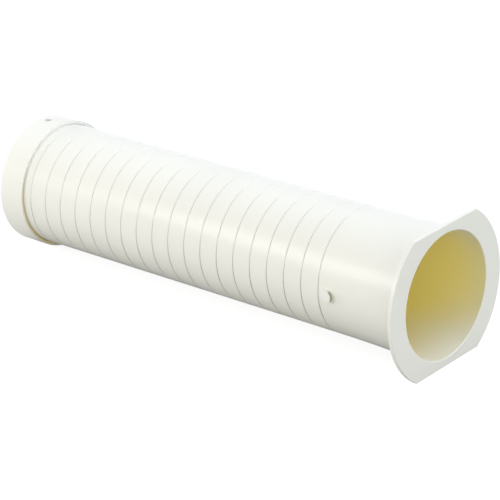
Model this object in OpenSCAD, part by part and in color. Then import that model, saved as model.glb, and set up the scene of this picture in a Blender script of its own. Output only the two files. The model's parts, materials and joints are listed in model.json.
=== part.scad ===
// Flanged wall sleeve: a moulded pipe that lines a hole through a wall. A flange with two flats stops
// it at the wall's face, score lines show where to cut it to the wall's thickness, and a separate ring
// finishes its far end.
//
// The pipe lies along X with its flange towards +X. The origin is on the surface that the lower flat
// rests on, below the axis and midway between the two ends.

/* [Pipe] */
// Overall length, from the front of the flange to the far end of the ring
total_l = 248.5; // [160:0.5:400]
// Outer diameter of the pipe
pipe_od = 60; // [40:0.5:120]
// Wall thickness of the pipe
wall_t = 1.5; // [1.2:0.1:3]

/* [Mouth] */
// Length of the bell at the mouth
bell_l = 48; // [20:1:48]
// How far the wall moves outwards at the mouth
bell_rise = 1.5; // [0.4:0.1:2]
// Rounding of the edge of the mouth
mouth_edge_r = 0.45; // [0.2:0.05:0.8]

/* [Flange] */
// How far the flange's round edge stands out from the pipe
flange_w = 11; // [8:0.5:30]
// How far the flange's flats stand out from the pipe
flat_w = 4; // [3.5:0.1:7]
// Thickness of the flange
flange_t = 2; // [1.4:0.1:4]
// Rounding of the flange's outer edges
flange_edge_r = 0.3; // [0.1:0.05:0.6]
// Fillet where the pipe runs into the back of the flange
root_r = 1.2; // [0.4:0.1:1.5]

/* [Score lines] */
// Distance from the front of the flange to the first score line
score_start = 49; // [49:1:90]
// Distance from one score line to the next
score_pitch = 10; // [5:1:30]
// Width of a score line
score_w = 0.8; // [0.4:0.1:1.2]
// Depth of a score line
score_depth = 0.4; // [0.2:0.05:0.7]

/* [Nib] */
// Distance from the foot of the nib's ramp to the first score line
nib_off = 1.5; // [1:0.5:10]
// Length of the nib, from the foot of its ramp to its steep end
nib_l = 7; // [6:0.5:16]
// Width of the nib
nib_w = 5.5; // [3:0.5:10]
// Height of the nib's steep end above the pipe
nib_h = 2; // [0.8:0.1:4]

/* [End ring] */
// Thickness of the ring's wall
ring_t = 1.65; // [1.2:0.05:4]
// Length of the ring
ring_l = 15; // [10:0.5:30]
// Thickness of the stop that the pipe's end seats on
ring_stop_t = 1.5; // [1:0.1:3]
// Gap between the pipe and the ring's bore, on the radius
ring_gap = 0.15; // [0.1:0.05:0.3]
// Thickness of the lip where the pipe enters the ring
ring_lip_t = 0.45; // [0.3:0.05:0.9]
// Depth of the lead-in behind the lip
ring_lead_l = 4; // [1:0.5:5]
// Rounding of the ring's far edge
ring_edge_r = 0.6; // [0.2:0.05:1]
// Diameter of the hole in the top of the ring
ring_hole_d = 3.8; // [1:0.1:6]
// Distance from the ring's far end to the centre of the hole
ring_hole_off = 5.5; // [4:0.5:6.5]

/* [Hidden] */

// Radii
pipe_r = pipe_od / 2;
bore_r = pipe_r - wall_t;
flange_r = pipe_r + flange_w;
flat_r = pipe_r + flat_w;
ring_bore_r = pipe_r + ring_gap;
ring_r = ring_bore_r + ring_t;
ring_lead_r = ring_r - ring_lip_t;

// Distances along the axis, measured from the front of the flange towards the far end
pipe_end = total_l - ring_stop_t;
ring_start = total_l - ring_l;
nib_foot = score_start - nib_off;
nib_end = nib_foot - nib_l;

// The score lines stop short of the ring
score_count = floor((ring_start - score_w - score_start) / score_pitch) + 1;

// Radius of the bell's long curve, and the angle that it turns through
bell_curve_r = (bell_l * bell_l + bell_rise * bell_rise) / (2 * bell_rise);
bell_angle = asin(bell_l / bell_curve_r);

// How far a cutter runs past the face that it opens
over = 1;

// Straight steps in the bell and in an edge's rounding, and in a full circle
bell_steps = 16;
edge_steps = 6;
$fn = 180;

// Radius, at a distance z from the front of the flange, of a wall whose straight part has radius r
function bell_at(r, z) = r + bell_curve_r * (1 - cos(asin(max(bell_l - z, 0) / bell_curve_r)));

// Points of such a wall from the front of the flange to where it runs straight
function bell(r) = [
    for (i = [0 : bell_steps])
        let (z = bell_l - bell_curve_r * sin(bell_angle * (1 - i / bell_steps)))
            [bell_at(r, z), z]
];

// Points of an arc round a centre, from angle a0 to angle a1
function arc(centre, r, a0, a1) = [
    for (i = [0 : edge_steps])
        let (a = a0 + (a1 - a0) * i / edge_steps)
            centre + r * [cos(a), sin(a)]
];

// Lays what is turned about Z along the pipe's axis, with Z = 0 at the front of the flange
module along_axis() {
    translate([total_l / 2, 0, flat_r])
        rotate([0, -90, 0])
            children();
}

// The pipe and its bell, solid
module pipe_outside() {
    rotate_extrude()
        polygon(concat(
            [[0, 0]],
            bell(pipe_r),
            [[pipe_r, pipe_end], [0, pipe_end]]
        ));
}

// The hollow of the pipe. It opens with the bell and ends in the rounded edge of the mouth
module pipe_hollow() {
    mouth_r = bell_at(bore_r, 0);
    rotate_extrude()
        polygon(concat(
            [[0, -over], [mouth_r + mouth_edge_r, -over]],
            arc([mouth_r + mouth_edge_r, mouth_edge_r], mouth_edge_r, 270, 180),
            [for (p = bell(bore_r)) if (p[1] > mouth_edge_r) p],
            [[bore_r, pipe_end + over], [0, pipe_end + over]]
        ));
}

// The flange's disc, cut to its two flats, with every outer edge rounded
module flange_plate() {
    e = flange_edge_r;
    intersection() {
        rotate_extrude()
            polygon(concat(
                [[0, 0]],
                arc([flange_r - e, e], e, 270, 360),
                arc([flange_r - e, flange_t - e], e, 0, 90),
                [[0, flange_t]]
            ));
        rotate([90, 0, 0])
            translate([0, 0, -flange_r - over])
                linear_extrude(2 * (flange_r + over))
                    polygon(concat(
                        arc([flat_r - e, e], e, 270, 360),
                        arc([flat_r - e, flange_t - e], e, 0, 90),
                        arc([e - flat_r, flange_t - e], e, 90, 180),
                        arc([e - flat_r, e], e, 180, 270)
                    ));
    }
}

// The fillet between the back of the flange and the pipe
module flange_root() {
    foot_r = bell_at(pipe_r, flange_t);
    rotate_extrude()
        polygon(concat(
            [[bore_r + wall_t / 2, flange_t / 2], [foot_r + root_r, flange_t / 2]],
            arc([foot_r + root_r, flange_t + root_r], root_r, 270, 180),
            [[bore_r + wall_t / 2, flange_t + root_r]]
        ));
}

// One score line: a V-shaped groove round the pipe, at a distance z from the front of the flange
module score(z) {
    open_w = score_w * (1 + over / score_depth);
    rotate_extrude()
        polygon([
            [pipe_r - score_depth, z],
            [pipe_r + over, z - open_w / 2],
            [pipe_r + over, z + open_w / 2]
        ]);
}

// The nib: a ramp that rises from the pipe towards the flange and ends in a steep, half-round face
module nib() {
    intersection() {
        rotate_extrude()
            polygon([
                [bore_r + wall_t / 2, nib_end],
                [bell_at(pipe_r, nib_end) + nib_h, nib_end],
                [bell_at(pipe_r, nib_foot), nib_foot],
                [bore_r + wall_t / 2, nib_foot]
            ]);
        rotate([90, 0, 0])
            linear_extrude(pipe_r + bell_rise + nib_h + over)
                nib_outline();
    }
}

// Outline of the nib, seen straight at it
module nib_outline() {
    translate([0, nib_end + nib_w / 2])
        circle(d = nib_w, $fn = 60);
    translate([-nib_w / 2, nib_end + nib_w / 2])
        square([nib_w, nib_l - nib_w / 2 + over]);
}

module sleeve() {
    color([0.96, 0.96, 0.91])
        along_axis()
            difference() {
                union() {
                    pipe_outside();
                    flange_plate();
                    flange_root();
                    nib();
                }
                pipe_hollow();
                for (i = [0 : score_count - 1])
                    score(score_start + i * score_pitch);
            }
}

module end_ring() {
    color([0.96, 0.96, 0.91])
        along_axis()
            difference() {
                rotate_extrude()
                    polygon(concat(
                        [[bore_r, pipe_end], [ring_bore_r, pipe_end]],
                        [[ring_bore_r, ring_start + ring_lead_l], [ring_lead_r, ring_start]],
                        [[ring_r, ring_start]],
                        arc([ring_r - ring_edge_r, total_l - ring_edge_r], ring_edge_r, 0, 90),
                        [[bore_r, total_l]]
                    ));
                translate([0, 0, total_l - ring_hole_off])
                    rotate([0, 90, 0])
                        cylinder(d = ring_hole_d, h = ring_r + over, $fn = 48);
            }
}

sleeve();
end_ring();
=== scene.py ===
"""Dresses the flanged wall sleeve and its end ring in plastic, and sets them on a pale studio floor."""

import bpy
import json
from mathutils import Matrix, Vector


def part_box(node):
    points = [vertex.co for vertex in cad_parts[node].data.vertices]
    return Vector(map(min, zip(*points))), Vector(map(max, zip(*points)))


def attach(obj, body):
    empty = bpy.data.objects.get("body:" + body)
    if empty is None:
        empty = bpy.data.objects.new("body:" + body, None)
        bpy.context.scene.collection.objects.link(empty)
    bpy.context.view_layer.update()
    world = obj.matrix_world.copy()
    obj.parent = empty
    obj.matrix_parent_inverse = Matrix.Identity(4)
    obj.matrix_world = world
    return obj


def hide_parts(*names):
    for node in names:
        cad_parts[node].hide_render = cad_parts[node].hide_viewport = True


bl_info = {
    "name": "Flanged wall sleeve",
    "version": (1, 0, 0),
    "blender": (4, 5, 0),
    "location": "3D View > Sidebar > Wall sleeve",
    "description": "Plastic, end ring, floor, lamps and camera for a flanged wall sleeve",
    "category": "Object",
}

import json
import math
from typing import NamedTuple

import bmesh
import bpy
from mathutils import Matrix, Vector

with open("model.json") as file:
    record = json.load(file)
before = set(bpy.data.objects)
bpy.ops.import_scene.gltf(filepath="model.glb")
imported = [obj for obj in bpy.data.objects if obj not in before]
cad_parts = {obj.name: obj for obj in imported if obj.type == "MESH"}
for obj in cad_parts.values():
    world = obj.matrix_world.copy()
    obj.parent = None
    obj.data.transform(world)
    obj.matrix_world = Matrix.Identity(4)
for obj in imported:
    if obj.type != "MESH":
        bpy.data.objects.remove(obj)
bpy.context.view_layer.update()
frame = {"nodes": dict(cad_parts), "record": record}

MM = 0.001

# Places that the solids give, in metres
SLEEVE_LOW, SLEEVE_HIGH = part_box("sleeve")
RING_LOW, RING_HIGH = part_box("end_ring")
MOUNTS = {mount["name"]: mount for mount in frame["record"]["mounts"]}
AXIS_Z = MOUNTS["bore"]["pos_m"][2]
BORE_R = MOUNTS["bore"]["dims"]["r_mm"] * MM
RING_R = MOUNTS["ring_outside"]["dims"]["r_mm"] * MM
MOUTH_X = SLEEVE_HIGH.x

# Distances of the ring's mouth and of its far end from the pipe's mouth
RING_MOUTH = MOUTH_X - RING_HIGH.x
FAR_END = MOUTH_X - RING_LOW.x

# Sizes of the moulding that its boxes and its mounts don't give
WALL_T = 1.5 * MM
BELL_L = 48 * MM
BELL_RISE = 1.5 * MM
SCORE_START = 49 * MM
SCORE_DEPTH = 0.4 * MM
NIB_END = 40.5 * MM
NIB_R = 2.75 * MM
RING_WALL = 1.65 * MM
RING_LIP_T = 0.45 * MM
RING_LEAD_L = 4 * MM

# What counts as one point of the ring's mesh and as a point of its lead-in, and what as a sharp edge
SAME_POINT = 0.001 * MM
NEAR = 0.1 * MM
SHARP_ANGLE = math.radians(30)

# Widths over which one tone gives way to another: on open wall, at an edge and at a fine edge
OPEN_BLEND = 1 * MM
EDGE_BLEND = 0.3 * MM
FINE_BLEND = 0.2 * MM

# How far a tone keeps off the face beside it
CLEAR = 0.1 * MM
FINE_CLEAR = 0.05 * MM

# How far before the first score line and before the nib their tones may begin
LINES_CLEAR = 3 * MM
NIB_CLEAR = 2 * MM

# Depth below the skin at which a score line's tone ends
LINE_SKIN = 0.04 * MM

# Part of the wall's thickness over which the tone of the inside ends
WALL_TURN = (0.3 * WALL_T, 0.6 * WALL_T)

# Stretch over which the nib's half-round end turns into its sides, from the centre of the round
NIB_TURN = (-1.6 * MM, -0.4 * MM)

# Heights above the axis between which the gap behind the ring's lip and the score lines change from
# their lower tone, painted shade, to their upper one, painted as lit from above, and how much a score
# line gains on that for each metre of depth, as painted light that grows towards the ring
GAP_TONE_SPAN = (-28 * MM, 26 * MM)
LINE_TONE_SPAN = (-22 * MM, 20 * MM)
LINE_TONE_GAIN = 0.04

# Distances from an end over which the bore's tone deepens into a painted amber, which stands in for
# light coming through the wall and for shade deep inside. Towards the side that the nib isn't on, a
# point counts as farther behind the mouth than one in the middle of the bore, so that side is painted in
# deeper shade
BORE_TONE_SPAN = (-10 * MM, 44 * MM)
BORE_SIDE_SPAN = (8 * MM, 36 * MM)
BORE_SIDE_GAIN = (-8 * MM, 26 * MM)

# Noise of the plastic: cells per metre for its drift and for its grain, detail and usual span
DRIFT_CELLS = 22.0
GRAIN_CELLS = 1800.0
NOISE_DETAIL = 3.0
NOISE_SPAN = (0.3, 0.7)

# Refractive index of the plastic, and how far its roughness goes below and above the set value
PLASTIC_IOR = 1.5
ROUGHNESS_BELOW = 0.015
ROUGHNESS_ABOVE = 0.035

# Half the width of the floor, and the reach and samples of its shade where it is mirrored
FLOOR_HALF = 6.0
FLOOR_SHADE_REACH = 60 * MM
FLOOR_SHADE_SAMPLES = 8

# Width of the camera's sensor, in millimetres
SENSOR_W = 36.0

# Tints of the light from behind and above, as from a window, and of the low light in front
WHITE = (1.0, 1.0, 1.0)
COOL = (0.85, 0.92, 1.0)
WARM = (1.0, 0.98, 0.77)


class Lamp(NamedTuple):
    """Where a soft lamp stands, and its width and tint.

    The bearing, from +X towards +Y, and the lowest and highest elevations that the lamp spans are in
    degrees. The width and the distance away from the object are in metres.
    """

    bearing: float
    low: float
    high: float
    width: float
    away: float
    tint: tuple


# Each lamp by the name of the setting that holds its brightness
LAMPS = {
    "front_lamp": Lamp(bearing=-100, low=1, high=13, width=1.0, away=2.0, tint=WARM),
    "side_lamp": Lamp(bearing=-117, low=13, high=30, width=0.4, away=0.7, tint=WHITE),
    "corner_lamp": Lamp(bearing=-35, low=1, high=13, width=1.0, away=2.0, tint=WARM),
    "mouth_lamp": Lamp(bearing=20, low=13, high=30, width=1.0, away=2.0, tint=COOL),
    "window_lamp": Lamp(bearing=50, low=30, high=52, width=2.0, away=2.0, tint=COOL),
    "high_lamp": Lamp(bearing=90, low=52, high=75, width=2.0, away=2.0, tint=COOL),
    "end_lamp": Lamp(bearing=180, low=1, high=13, width=2.0, away=2.0, tint=WHITE),
}


class SleevePlastic(bpy.types.PropertyGroup):
    """Colours and finish of the moulded plastic, with the colours that paint shade into its score lines
    and nib's end, and light and shade behind the ring's lip and inside the bore
    """

    outer_colour: bpy.props.FloatVectorProperty(
        name="Outer colour",
        description="Ivory of the outside, the flange and the ring",
        subtype="COLOR", size=3, min=0.0, max=1.0,
        default=(0.875, 0.872, 0.828),
    )
    lip_colour: bpy.props.FloatVectorProperty(
        name="Lip colour",
        description="Tone of the wall just inside either end",
        subtype="COLOR", size=3, min=0.0, max=1.0,
        default=(0.89, 0.88, 0.8),
    )
    # The bore colour is painted light and shade: an amber that stands in for light coming through the
    # wall and for shade deep inside the pipe
    bore_painted_glow_and_shade_colour: bpy.props.FloatVectorProperty(
        name="Bore colour",
        description="Deeper tone of the wall inside the pipe",
        subtype="COLOR", size=3, min=0.0, max=1.0,
        default=(1.0, 0.87, 0.31),
    )
    # The two gap colours are painted light on top and painted shade below, behind the ring's lip
    gap_top_painted_light_colour: bpy.props.FloatVectorProperty(
        name="Gap colour on top",
        description="Tone behind the ring's lip on the upper side of the pipe",
        subtype="COLOR", size=3, min=0.0, max=1.0,
        default=(0.98, 0.98, 0.96),
    )
    gap_under_painted_shade_colour: bpy.props.FloatVectorProperty(
        name="Gap colour below",
        description="Tone behind the ring's lip on the underside of the pipe",
        subtype="COLOR", size=3, min=0.0, max=1.0,
        default=(0.87, 0.78, 0.48),
    )
    # The score line colours are painted shade, light on top and deep below
    line_top_painted_shade_colour: bpy.props.FloatVectorProperty(
        name="Score line colour on top",
        description="Tone of a score line on the upper side of the pipe",
        subtype="COLOR", size=3, min=0.0, max=1.0,
        default=(0.73, 0.73, 0.69),
    )
    line_under_painted_shade_colour: bpy.props.FloatVectorProperty(
        name="Score line colour below",
        description="Tone of a score line on the underside of the pipe",
        subtype="COLOR", size=3, min=0.0, max=1.0,
        default=(0.16, 0.16, 0.13),
    )
    # The nib's steep end is painted in shade
    nib_end_painted_shade_colour: bpy.props.FloatVectorProperty(
        name="Nib end colour",
        description="Tone of the steep end of the nib",
        subtype="COLOR", size=3, min=0.0, max=1.0,
        default=(0.40, 0.40, 0.28),
    )
    drift: bpy.props.FloatProperty(
        name="Colour drift",
        description="How much the plastic's tone drifts from place to place",
        subtype="FACTOR", min=0.0, max=0.2, default=0.02,
    )
    speck: bpy.props.FloatProperty(
        name="Speckle",
        description="How much the fine grain changes the plastic's tone",
        subtype="FACTOR", min=0.0, max=0.2, default=0.02,
    )
    roughness: bpy.props.FloatProperty(
        name="Roughness",
        description="Roughness of the moulded skin",
        subtype="FACTOR", min=0.05, max=0.9, default=0.3,
    )
    grain: bpy.props.FloatProperty(
        name="Grain height",
        description="Height of the fine unevenness of the moulded skin",
        subtype="DISTANCE", unit="LENGTH", min=0.0, max=0.2 * MM, default=0.008 * MM,
    )
    lead_in: bpy.props.FloatProperty(
        name="Lead-in depth",
        description="Depth of the ring's lead-in behind its lip",
        subtype="DISTANCE", unit="LENGTH", min=0.2 * MM, max=RING_LEAD_L, default=0.6 * MM,
    )


class SleeveStage(bpy.types.PropertyGroup):
    """Floor, lamps and camera"""

    floor_shade: bpy.props.FloatProperty(
        name="Floor shade",
        description="How much of the light the floor sends back to the object",
        subtype="FACTOR", min=0.0, max=1.0, default=0.3,
    )
    floor_glow: bpy.props.FloatProperty(
        name="Floor glow",
        description="What lifts the floor to white where it is seen or mirrored",
        min=0.0, max=1.0, default=0.87,
    )
    front_lamp: bpy.props.FloatProperty(
        name="Front lamp",
        description="Brightness of the low, warm lamp in front of the pipe",
        min=0.0, max=20.0, default=3.7,
    )
    side_lamp: bpy.props.FloatProperty(
        name="Side lamp",
        description="Brightness of the small, near lamp in front of the ring's half of the pipe",
        min=0.0, max=20.0, default=4.9,
    )
    corner_lamp: bpy.props.FloatProperty(
        name="Corner lamp",
        description="Brightness of the low, warm lamp between the front and the mouth",
        min=0.0, max=20.0, default=6.2,
    )
    mouth_lamp: bpy.props.FloatProperty(
        name="Mouth lamp",
        description="Brightness of the cool lamp that faces the mouth",
        min=0.0, max=20.0, default=1.6,
    )
    window_lamp: bpy.props.FloatProperty(
        name="Window lamp",
        description="Brightness of the wide, cool lamp between the mouth and the back",
        min=0.0, max=20.0, default=2.7,
    )
    high_lamp: bpy.props.FloatProperty(
        name="High lamp",
        description="Brightness of the wide, cool lamp high behind the pipe",
        min=0.0, max=20.0, default=2.4,
    )
    end_lamp: bpy.props.FloatProperty(
        name="End lamp",
        description="Brightness of the low, wide lamp past the ring",
        min=0.0, max=20.0, default=7.5,
    )
    sky: bpy.props.FloatProperty(
        name="Surroundings",
        description="Brightness of the light from all round",
        min=0.0, max=2.0, default=0.52,
    )
    focal_length: bpy.props.FloatProperty(
        name="Focal length",
        description="Focal length of the camera on a sensor 36 mm wide",
        unit="CAMERA", min=20.0, max=400.0, default=176.4,
    )
    view_azimuth: bpy.props.FloatProperty(
        name="View azimuth",
        description="Angle from +Y towards +X that the camera looks along",
        subtype="ANGLE", default=math.radians(-41.21),
    )
    view_elevation: bpy.props.FloatProperty(
        name="View elevation",
        description="How far the camera looks down",
        subtype="ANGLE", default=math.radians(23.69),
    )
    view_roll: bpy.props.FloatProperty(
        name="View roll",
        description="Turn of the camera about its own line of sight",
        subtype="ANGLE", default=math.radians(-2.65),
    )
    view_distance: bpy.props.FloatProperty(
        name="View distance",
        description="Distance from the camera to the point that it looks at",
        subtype="DISTANCE", unit="LENGTH", default=1.1532,
    )
    view_target: bpy.props.FloatVectorProperty(
        name="View target",
        description="Point that the camera looks at",
        subtype="XYZ", unit="LENGTH", size=3, default=(0.01005, 0.0, 0.02753),
    )


def new_material(name):
    """A material with an empty node tree, and that tree."""
    material = bpy.data.materials.new(name)
    material.use_nodes = True
    material.node_tree.nodes.clear()
    return material, material.node_tree


def feed(tree, socket, value):
    """Gives a socket a value, or links it to another socket."""
    if isinstance(value, bpy.types.NodeSocket):
        tree.links.new(value, socket)
    else:
        socket.default_value = value


def shader_node(tree, kind, **inputs):
    """Adds a shader node and sets its inputs by name, with a value or with a socket to link."""
    node = tree.nodes.new(kind)
    for name, value in inputs.items():
        feed(tree, node.inputs[name.replace("_", " ")], value)
    return node


def end_tree(tree, kind, shader):
    """Ends a tree in an output node of a kind, with a shader as its surface."""
    out = tree.nodes.new(kind)
    tree.links.new(shader.outputs[0], out.inputs["Surface"])


def opaque(colour):
    """A colour with full alpha."""
    return (*colour, 1.0)


def maths(tree, operation, *values):
    """Adds a Math node and returns its result."""
    node = tree.nodes.new("ShaderNodeMath")
    node.operation = operation
    for socket, value in zip(node.inputs, values):
        feed(tree, socket, value)
    return node.outputs[0]


def product(tree, first, *others):
    """Multiplies values together, so that a place counts only where all of them do."""
    for other in others:
        first = maths(tree, "MULTIPLY", first, other)
    return first


def span(tree, first, second):
    """Length of a step that goes first along one axis and second along another."""
    squares = [maths(tree, "MULTIPLY", step, step) for step in (first, second)]
    return maths(tree, "SQRT", maths(tree, "ADD", *squares))


def ramp(tree, value, low, high, out_low=0.0, out_high=1.0):
    """Maps value smoothly from the span low to high onto the span out_low to out_high."""
    node = tree.nodes.new("ShaderNodeMapRange")
    node.interpolation_type = "SMOOTHSTEP"
    for socket, given in zip(node.inputs, (value, low, high, out_low, out_high)):
        feed(tree, socket, given)
    return node.outputs[0]


def past(tree, value, edge, blend):
    """0 where a value is short of an edge, and 1 where it is past it by the width of the blend."""
    return ramp(tree, value, edge, edge + blend)


def short_of(tree, value, edge, blend):
    """1 where a value is short of an edge, and 0 where it is past it by the width of the blend."""
    return ramp(tree, value, edge, edge + blend, 1.0, 0.0)


def mix_colour(tree, factor, first, second, blend="MIX"):
    """Mixes two colours by a factor."""
    node = tree.nodes.new("ShaderNodeMix")
    node.data_type = "RGBA"
    node.blend_type = blend
    feed(tree, node.inputs["Factor"], factor)
    colours = [socket for socket in node.inputs if socket.type == "RGBA"]
    feed(tree, colours[0], first)
    feed(tree, colours[1], second)
    return next(socket for socket in node.outputs if socket.type == "RGBA")


class Place(NamedTuple):
    """Sockets that say where a point of the plastic lies, in metres.

    The depth is the distance behind the mouth. Side and height are the distances from the axis along
    Y and up, and the radius is the distance from the axis.
    """

    point: bpy.types.NodeSocket
    depth: bpy.types.NodeSocket
    side: bpy.types.NodeSocket
    height: bpy.types.NodeSocket
    radius: bpy.types.NodeSocket


def find_place(tree):
    """Reads where a point of the plastic lies from its Object coordinates."""
    point = tree.nodes.new("ShaderNodeTexCoord").outputs["Object"]
    split = shader_node(tree, "ShaderNodeSeparateXYZ", Vector=point)
    side = split.outputs["Y"]
    height = maths(tree, "SUBTRACT", split.outputs["Z"], AXIS_Z)
    return Place(
        point=point,
        depth=maths(tree, "SUBTRACT", MOUTH_X, split.outputs["X"]),
        side=side,
        height=height,
        radius=span(tree, side, height),
    )


def noise(tree, at, cells):
    """Noise with a number of cells to the metre."""
    node = shader_node(tree, "ShaderNodeTexNoise", Vector=at.point, Scale=cells, Detail=NOISE_DETAIL)
    return node.outputs[0]


def finish_plastic(tree, look, at, colour):
    """Ends the tree in the moulded plastic, with its drift of tone, its grain and its gloss."""
    cloud = noise(tree, at, DRIFT_CELLS)
    grain = noise(tree, at, GRAIN_CELLS)
    tones = product(
        tree,
        ramp(tree, cloud, *NOISE_SPAN, 1.0 - look.drift, 1.0),
        ramp(tree, grain, *NOISE_SPAN, 1.0 - look.speck, 1.0),
    )
    smoothest, roughest = look.roughness - ROUGHNESS_BELOW, look.roughness + ROUGHNESS_ABOVE
    bump = shader_node(tree, "ShaderNodeBump", Height=grain, Distance=look.grain)
    skin = shader_node(
        tree, "ShaderNodeBsdfPrincipled",
        Base_Color=mix_colour(tree, 1.0, colour, tones, "MULTIPLY"),
        Roughness=ramp(tree, cloud, *NOISE_SPAN, smoothest, roughest),
        Normal=bump.outputs["Normal"],
        IOR=PLASTIC_IOR,
    )
    end_tree(tree, "ShaderNodeOutputMaterial", skin)


def height_over_bore(tree, at):
    """Height above the wall of the bore, which follows the bell towards the mouth."""
    # The bell's wall moves outwards by the square of the distance from where it runs straight
    into_bell = maths(tree, "MAXIMUM", maths(tree, "SUBTRACT", BELL_L, at.depth), 0.0)
    rise = product(tree, into_bell, into_bell, BELL_RISE / BELL_L ** 2)
    return maths(tree, "SUBTRACT", maths(tree, "SUBTRACT", at.radius, BORE_R), rise)


def in_score_line(tree, at, over_bore):
    """Where the wall of a score line lies below the skin of the pipe."""
    return product(
        tree,
        short_of(tree, over_bore, WALL_T - SCORE_DEPTH, SCORE_DEPTH - LINE_SKIN),
        past(tree, at.depth, SCORE_START - LINES_CLEAR, OPEN_BLEND),
    )


def score_line_painted_shade(tree, look, at):
    """Painted shade of a score line: deep on the underside, and paler higher up and towards the ring,
    where more light is painted in.
    """
    lit = maths(tree, "ADD", at.height, product(tree, at.depth, LINE_TONE_GAIN))
    return mix_colour(
        tree, ramp(tree, lit, *LINE_TONE_SPAN),
        opaque(look.line_under_painted_shade_colour), opaque(look.line_top_painted_shade_colour),
    )


def on_nib_end(tree, at, over_bore):
    """Where the steep end of the nib is, which is half-round seen straight at it, and which is painted
    in shade.
    """
    along = maths(tree, "SUBTRACT", at.depth, NIB_END + NIB_R)
    return product(
        tree,
        past(tree, span(tree, along, at.height), NIB_R - FINE_CLEAR - FINE_BLEND, FINE_BLEND),
        past(tree, over_bore, WALL_T + CLEAR, EDGE_BLEND),
        ramp(tree, along, *NIB_TURN, 1.0, 0.0),
        past(tree, at.depth, NIB_END - NIB_CLEAR, OPEN_BLEND),
    )


def gap_painted_light_and_shade(tree, look, at):
    """Painted light and shade behind the ring's lip: pale on top, where light through the thin lip is
    painted in, and deepening to a painted amber shade towards the underside.
    """
    return mix_colour(
        tree, ramp(tree, at.height, *GAP_TONE_SPAN),
        opaque(look.gap_under_painted_shade_colour), opaque(look.gap_top_painted_light_colour),
    )


def inside_pipe(tree, at, over_bore):
    """Where the wall faces inwards, from just behind the edge of the mouth."""
    return product(
        tree,
        ramp(tree, over_bore, *WALL_TURN, 1.0, 0.0),
        past(tree, at.depth, FINE_CLEAR, EDGE_BLEND),
    )


def bore_painted_glow_and_shade(tree, look, at):
    """Painted tone of the inside: from the pale lip it deepens away from both ends, and more on the side
    away from the nib, to a painted amber that stands in for light coming through the wall and for shade
    deep in the bore.
    """
    from_mouth = maths(tree, "ADD", at.depth, ramp(tree, at.side, *BORE_SIDE_SPAN, *BORE_SIDE_GAIN))
    from_far_end = maths(tree, "SUBTRACT", FAR_END, at.depth)
    nearer = maths(tree, "MINIMUM", from_mouth, from_far_end)
    return mix_colour(
        tree, ramp(tree, nearer, *BORE_TONE_SPAN),
        opaque(look.lip_colour), opaque(look.bore_painted_glow_and_shade_colour),
    )


def sleeve_plastic(look):
    """Plastic of the sleeve, with painted shade in the score lines and on the nib's end, and painted
    light and shade under the ring and inside.
    """
    material, tree = new_material("sleeve_plastic_dressed")
    at = find_place(tree)
    over_bore = height_over_bore(tree, at)
    colour = opaque(look.outer_colour)
    # Shade is painted into the score lines and onto the nib's end, and light and shade under the ring
    # and inside the bore
    for where, tone in (
        (in_score_line(tree, at, over_bore), score_line_painted_shade(tree, look, at)),
        (on_nib_end(tree, at, over_bore), opaque(look.nib_end_painted_shade_colour)),
        (past(tree, at.depth, RING_MOUTH, EDGE_BLEND), gap_painted_light_and_shade(tree, look, at)),
        (inside_pipe(tree, at, over_bore), bore_painted_glow_and_shade(tree, look, at)),
    ):
        colour = mix_colour(tree, where, colour, tone)
    finish_plastic(tree, look, at, colour)
    return material


def ring_plastic(look):
    """Plastic of the end ring, with painted light and shade behind its lip, and the pale tone of the
    pipe's lip inside its stop.
    """
    material, tree = new_material("ring_plastic_dressed")
    at = find_place(tree)
    in_gap = product(
        tree,
        short_of(tree, at.radius, RING_R - RING_LIP_T - FINE_BLEND, FINE_BLEND),
        short_of(tree, at.depth, RING_MOUTH + RING_LEAD_L, OPEN_BLEND),
    )
    in_stop = short_of(tree, at.radius, BORE_R + CLEAR, EDGE_BLEND)
    # Behind the lip, light is painted on top and shade below
    colour = mix_colour(tree, in_gap, opaque(look.outer_colour), gap_painted_light_and_shade(tree, look, at))
    colour = mix_colour(tree, in_stop, colour, opaque(look.lip_colour))
    finish_plastic(tree, look, at, colour)
    return material


def on_lead_in(point):
    """Whether a point of the solid ring lies on the cone of the lead-in behind its lip."""
    depth = RING_HIGH.x - point.x
    radius = math.hypot(point.y, point.z - AXIS_Z)
    cone_r = RING_R - RING_LIP_T - (RING_WALL - RING_LIP_T) * depth / RING_LEAD_L
    return depth < RING_LEAD_L + NEAR and abs(radius - cone_r) < NEAR


def ring_shape(lead_in):
    """The end ring's mesh, with a lead-in of another depth behind its lip."""
    shape = bmesh.new()
    shape.from_mesh(frame["nodes"]["end_ring"].data)
    bmesh.ops.remove_doubles(shape, verts=shape.verts, dist=SAME_POINT)
    cone = [vertex for vertex in shape.verts if on_lead_in(vertex.co)]
    if not cone:
        raise RuntimeError("The end ring has no lead-in behind its lip")
    for vertex in cone:
        depth = RING_HIGH.x - vertex.co.x
        vertex.co.x = RING_HIGH.x - depth * lead_in / RING_LEAD_L
    mesh = bpy.data.meshes.new("ring")
    shape.to_mesh(mesh)
    shape.free()
    # The solid's own normals don't fit the new cone
    if "custom_normal" in mesh.attributes:
        mesh.attributes.remove(mesh.attributes["custom_normal"])
    mesh.shade_smooth()
    mesh.set_sharp_from_angle(angle=SHARP_ANGLE)
    return mesh


class WALLSLEEVE_OT_dress_sleeve(bpy.types.Operator):
    """Gives the sleeve its plastic"""

    bl_idname = "wallsleeve.dress_sleeve"
    bl_label = "Dress the sleeve"

    def execute(self, context):
        node = frame["nodes"]["sleeve"]
        node.material_slots[0].material = sleeve_plastic(context.scene.sleeve_plastic)
        return {"FINISHED"}


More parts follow.
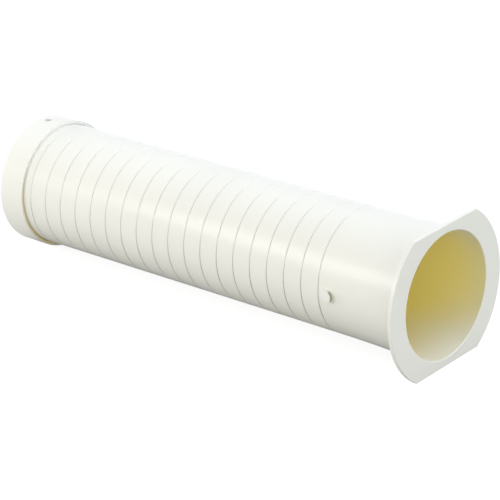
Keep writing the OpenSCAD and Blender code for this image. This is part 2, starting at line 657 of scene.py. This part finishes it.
class WALLSLEEVE_OT_make_ring(bpy.types.Operator):
    """Makes the end ring with a shallow lead-in and gives it its plastic"""

    bl_idname = "wallsleeve.make_ring"
    bl_label = "Make the end ring"

    def execute(self, context):
        look = context.scene.sleeve_plastic
        ring = bpy.data.objects.new("collar", ring_shape(look.lead_in))
        ring.data.materials.append(ring_plastic(look))
        context.scene.collection.objects.link(ring)
        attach(ring, "root")
        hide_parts("end_ring")
        return {"FINISHED"}


def floor_material(stage):
    """A pale floor that is white where it is seen or mirrored, and keeps the object's shadow."""
    material, tree = new_material("studio_floor")
    path = tree.nodes.new("ShaderNodeLightPath")
    straight = maths(tree, "MAXIMUM", path.outputs["Is Camera Ray"], path.outputs["Is Transmission Ray"])
    # A mirrored floor is shaded under the object, as the floor itself is
    shade = shader_node(tree, "ShaderNodeAmbientOcclusion", Distance=FLOOR_SHADE_REACH)
    shade.samples = FLOOR_SHADE_SAMPLES
    mirrored = product(tree, path.outputs["Is Glossy Ray"], shade.outputs["AO"])
    seen = maths(tree, "MAXIMUM", straight, mirrored)
    strength = product(tree, seen, stage.floor_glow)
    matt = shader_node(tree, "ShaderNodeBsdfDiffuse", Color=opaque([stage.floor_shade] * 3))
    glow = shader_node(tree, "ShaderNodeEmission", Color=opaque(WHITE), Strength=strength)
    both = tree.nodes.new("ShaderNodeAddShader")
    tree.links.new(matt.outputs[0], both.inputs[0])
    tree.links.new(glow.outputs[0], both.inputs[1])
    end_tree(tree, "ShaderNodeOutputMaterial", both)
    return material


def add_floor(stage):
    """A wide floor that the lower flat and the ring both rest on."""
    # The ring's underside is higher than the flat's, so the floor tips by that much to meet both
    slope = (RING_LOW.z - SLEEVE_LOW.z) / RING_MOUTH
    turns = ((-1, -1), (1, -1), (1, 1), (-1, 1))
    flat = [(x * FLOOR_HALF, y * FLOOR_HALF) for x, y in turns]
    corners = [(x, y, -slope * (x - MOUTH_X)) for x, y in flat]
    mesh = bpy.data.meshes.new("floor")
    mesh.from_pydata(corners, [], [(0, 1, 2, 3)])
    mesh.materials.append(floor_material(stage))
    floor = bpy.data.objects.new("floor", mesh)
    bpy.context.scene.collection.objects.link(floor)


def add_lamp(name, lamp, brightness):
    """A soft lamp that faces the object, as bright to look at whatever its size is."""
    turn = math.radians(lamp.bearing)
    middle = math.radians((lamp.low + lamp.high) / 2)
    half = math.radians((lamp.high - lamp.low) / 2)
    level = Vector((math.cos(turn), math.sin(turn), 0.0)) * math.cos(middle)
    side = level + Vector((0.0, 0.0, math.sin(middle)))
    data = bpy.data.lights.new(name, "AREA")
    data.shape = "RECTANGLE"
    data.size = lamp.width
    data.size_y = 2 * lamp.away * math.tan(half)
    data.energy = brightness * math.pi * data.size * data.size_y
    data.color = lamp.tint
    light = bpy.data.objects.new(name, data)
    light.location = Vector((0.0, 0.0, AXIS_Z)) + side * lamp.away
    light.rotation_euler = (-side).to_track_quat("-Z", "Y").to_euler()
    bpy.context.scene.collection.objects.link(light)


def add_world(stage):
    """Even light from all round, white where it is seen or mirrored."""
    world = bpy.data.worlds.new("studio")
    world.use_nodes = True
    tree = world.node_tree
    tree.nodes.clear()
    path = tree.nodes.new("ShaderNodeLightPath")
    seen = maths(tree, "MAXIMUM", path.outputs["Is Camera Ray"], path.outputs["Is Glossy Ray"])
    seen = maths(tree, "MAXIMUM", seen, path.outputs["Is Transmission Ray"])
    strength = ramp(tree, seen, 0.0, 1.0, stage.sky, 1.0)
    back = shader_node(tree, "ShaderNodeBackground", Color=opaque(WHITE), Strength=strength)
    end_tree(tree, "ShaderNodeOutputWorld", back)
    bpy.context.scene.world = world


class WALLSLEEVE_OT_build_stage(bpy.types.Operator):
    """Sets up the floor, the lamps and the surroundings"""

    bl_idname = "wallsleeve.build_stage"
    bl_label = "Build the stage"

    def execute(self, context):
        stage = context.scene.sleeve_stage
        add_floor(stage)
        for name, lamp in LAMPS.items():
            add_lamp(name, lamp, getattr(stage, name))
        add_world(stage)
        context.scene.view_settings.view_transform = "Standard"
        return {"FINISHED"}


class WALLSLEEVE_OT_place_camera(bpy.types.Operator):
    """Places the camera where the photograph was taken from"""

    bl_idname = "wallsleeve.place_camera"
    bl_label = "Place the camera"

    def execute(self, context):
        stage = context.scene.sleeve_stage
        data = bpy.data.cameras.new("view")
        data.sensor_width = SENSOR_W
        data.lens = stage.focal_length
        camera = bpy.data.objects.new("view", data)
        bearing, fall = stage.view_azimuth, stage.view_elevation
        sight = Vector((
            math.sin(bearing) * math.cos(fall),
            math.cos(bearing) * math.cos(fall),
            -math.sin(fall),
        ))
        turn = sight.to_track_quat("-Z", "Y").to_matrix().to_4x4()
        roll = Matrix.Rotation(stage.view_roll, 4, "Z")
        place = Matrix.Translation(Vector(stage.view_target) - sight * stage.view_distance)
        camera.matrix_world = place @ turn @ roll
        context.scene.collection.objects.link(camera)
        context.scene.camera = camera
        return {"FINISHED"}


class WALLSLEEVE_PT_panel(bpy.types.Panel):
    """Lists the sleeve's settings and steps"""

    bl_label = "Wall sleeve"
    bl_idname = "WALLSLEEVE_PT_panel"
    bl_space_type = "VIEW_3D"
    bl_region_type = "UI"
    bl_category = "Wall sleeve"

    def draw(self, context):
        for settings in (context.scene.sleeve_plastic, context.scene.sleeve_stage):
            box = self.layout.box()
            for name in settings.bl_rna.properties.keys():
                if name not in ("rna_type", "name"):
                    box.prop(settings, name)
        for step in STEPS:
            self.layout.operator(step.bl_idname)


SETTINGS = (SleevePlastic, SleeveStage)
STEPS = (
    WALLSLEEVE_OT_place_camera,
    WALLSLEEVE_OT_dress_sleeve,
    WALLSLEEVE_OT_make_ring,
    WALLSLEEVE_OT_build_stage,
)


def register():
    for cls in (*SETTINGS, *STEPS, WALLSLEEVE_PT_panel):
        bpy.utils.register_class(cls)
    bpy.types.Scene.sleeve_plastic = bpy.props.PointerProperty(type=SleevePlastic)
    bpy.types.Scene.sleeve_stage = bpy.props.PointerProperty(type=SleeveStage)


def unregister():
    del bpy.types.Scene.sleeve_stage
    del bpy.types.Scene.sleeve_plastic
    for cls in reversed((*SETTINGS, *STEPS, WALLSLEEVE_PT_panel)):
        bpy.utils.unregister_class(cls)


def main():
    register()
    bpy.ops.wallsleeve.place_camera()
    bpy.ops.wallsleeve.dress_sleeve()
    bpy.ops.wallsleeve.make_ring()
    bpy.ops.wallsleeve.build_stage()


if __name__ == "__main__":
    main()
